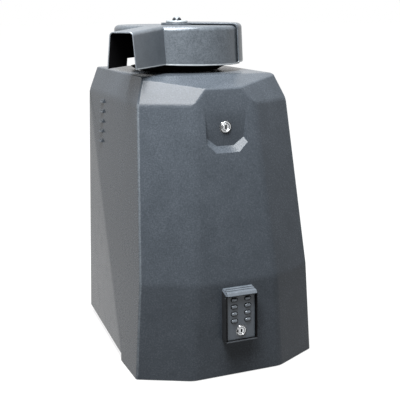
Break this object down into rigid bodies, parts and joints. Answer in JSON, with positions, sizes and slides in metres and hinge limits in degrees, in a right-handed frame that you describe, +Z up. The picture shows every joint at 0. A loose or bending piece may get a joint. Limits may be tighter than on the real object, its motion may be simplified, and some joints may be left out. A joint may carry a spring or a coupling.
{
  "type": "swing gate operator",
  "caption": "Upright faceted gate operator: a locking pull-off cover with a keypad hides a belt-driven worm gearbox whose shaft swings a covered crank arm on top.",
  "frame": {"origin": "middle of the base plate's underside, under the middle of the cover's footprint", "axes": "+Z up along the output shaft, -Y out of the front with the locks and keypad, +X to the right seen from the front"},
  "size_m": [0.4106, 0.4807, 0.6978],
  "materials": {
    "cover_plastic": "fine grained graphite polyethylene",
    "arm_paint": "satin grey metallic paint",
    "chrome": "polished",
    "bright_steel": "ground steel",
    "zinc_steel": "zinc plated",
    "frame_paint": "black powder coat",
    "cast_iron": "painted casting",
    "bronze": "machined bronze",
    "black_rubber": "moulded",
    "motor_paint": "satin paint",
    "alloy": "die cast",
    "black_plastic": "moulded",
    "board_green": "solder mask",
    "transformer_iron": "varnished laminations",
    "pad_grey": "satin paint",
    "key_metal": "satin metal"
  },
  "bodies": {
    "frame": {"base_plate": "frame_paint", "frame_side_left": "frame_paint", "frame_side_right": "frame_paint", "gearbox_shelf": "frame_paint", "motor_shelf": "frame_paint", "rear_panel": "frame_paint", "frame_bolts": "zinc_steel", "gearbox_housing": "cast_iron", "gearbox_lid": "cast_iron", "lid_bolts": "zinc_steel", "output_bearings": "bright_steel", "output_oil_seal": "black_rubber", "worm_bearings": "bright_steel", "worm_end_cap": "cast_iron", "worm_seal_cap": "cast_iron", "motor_housing": "motor_paint", "motor_end_bells": "alloy", "drive_belt": "black_rubber", "control_panel": "zinc_steel", "control_board": "board_green", "relays": "black_plastic", "terminal_strip": "black_plastic", "transformer": "transformer_iron", "limit_switches": "black_plastic", "limit_switch_bracket": "zinc_steel", "lock_strike": "zinc_steel"},
    "arm": {"output_shaft": "bright_steel", "shaft_keys": "bright_steel", "worm_wheel": "bronze", "limit_cams": "black_plastic", "crank_arm": "frame_paint", "arm_cover_front": "arm_paint", "arm_cover_rear": "arm_paint", "arm_cover_washer": "bright_steel", "arm_cover_bolt": "bright_steel"},
    "worm": {"worm_shaft": "bright_steel", "worm_pulley": "cast_iron"},
    "motor_rotor": {"motor_shaft": "bright_steel", "motor_pulley": "cast_iron"},
    "cover": {"operator_cover": "cover_plastic", "cover_lock_body": "chrome", "cover_lock_nut": "zinc_steel", "keypad_housing": "pad_grey"},
    "cover_key": {"cover_lock_plug": "chrome", "cover_lock_cam": "zinc_steel"},
    "keypad_door": {"keypad_plate": "pad_grey", "keypad_board": "board_green", "keypad_lock_body": "chrome", "keypad_lock_nut": "zinc_steel"},
    "keypad_key_lock": {"keypad_lock_plug": "chrome", "keypad_lock_cam": "zinc_steel"},
    "press_1": {"keypad_key_1": "key_metal"},
    "press_2": {"keypad_key_2": "key_metal"},
    "press_3": {"keypad_key_3": "key_metal"},
    "press_4": {"keypad_key_4": "key_metal"},
    "press_5": {"keypad_key_5": "key_metal"},
    "press_6": {"keypad_key_6": "key_metal"},
    "press_7": {"keypad_key_7": "key_metal"},
    "press_8": {"keypad_key_8": "key_metal"}
  },
  "joints": [
    {"name": "arm_swing", "type": "hinge", "parent": "frame", "child": "arm", "pos_m": [0, 0.095, 0.6], "axis": [0, 0, 1], "range_deg": [-60, 60]},
    {"name": "worm_spin", "type": "hinge", "parent": "frame", "child": "worm", "pos_m": [0, 0.017, 0.455], "axis": [1, 0, 0], "range_deg": [-2400, 2400]},
    {"name": "motor_spin", "type": "hinge", "parent": "frame", "child": "motor_rotor", "pos_m": [0, 0.017, 0.23], "axis": [1, 0, 0], "range_deg": [-4800, 4800]},
    {"name": "cover_slide", "type": "slide", "parent": "frame", "child": "cover", "axis": [0, -1, 0], "range_m": [0, 0.55]},
    {"name": "cover_lock_turn", "type": "hinge", "parent": "cover", "child": "cover_key", "pos_m": [0, -0.16, 0.4905], "axis": [0, -1, 0], "range_deg": [0, 90]},
    {"name": "keypad_door_swing", "type": "hinge", "parent": "cover", "child": "keypad_door", "pos_m": [0, -0.23797, 0.16953], "axis": [-1, 0, 0], "range_deg": [0, 45]},
    {"name": "keypad_lock_turn", "type": "hinge", "parent": "keypad_door", "child": "keypad_key_lock", "pos_m": [0, -0.23499, 0.09888], "axis": [0, 0.9994, -0.0356], "range_deg": [0, 90]},
    {"name": "key_press_1", "type": "slide", "parent": "keypad_door", "child": "press_1", "axis": [0, 0.9994, -0.0356], "range_m": [0, 0.0012], "stiffness_N_per_m": 400},
    {"name": "key_press_2", "type": "slide", "parent": "keypad_door", "child": "press_2", "axis": [0, 0.9994, -0.0356], "range_m": [0, 0.0012], "stiffness_N_per_m": 400},
    {"name": "key_press_3", "type": "slide", "parent": "keypad_door", "child": "press_3", "axis": [0, 0.9994, -0.0356], "range_m": [0, 0.0012], "stiffness_N_per_m": 400},
    {"name": "key_press_4", "type": "slide", "parent": "keypad_door", "child": "press_4", "axis": [0, 0.9994, -0.0356], "range_m": [0, 0.0012], "stiffness_N_per_m": 400},
    {"name": "key_press_5", "type": "slide", "parent": "keypad_door", "child": "press_5", "axis": [0, 0.9994, -0.0356], "range_m": [0, 0.0012], "stiffness_N_per_m": 400},
    {"name": "key_press_6", "type": "slide", "parent": "keypad_door", "child": "press_6", "axis": [0, 0.9994, -0.0356], "range_m": [0, 0.0012], "stiffness_N_per_m": 400},
    {"name": "key_press_7", "type": "slide", "parent": "keypad_door", "child": "press_7", "axis": [0, 0.9994, -0.0356], "range_m": [0, 0.0012], "stiffness_N_per_m": 400},
    {"name": "key_press_8", "type": "slide", "parent": "keypad_door", "child": "press_8", "axis": [0, 0.9994, -0.0356], "range_m": [0, 0.0012], "stiffness_N_per_m": 400}
  ],
  "couplings": [
    {"joint": "worm_spin", "follows": "arm_swing", "ratio": -40},
    {"joint": "motor_spin", "follows": "arm_swing", "ratio": -80}
  ]
}
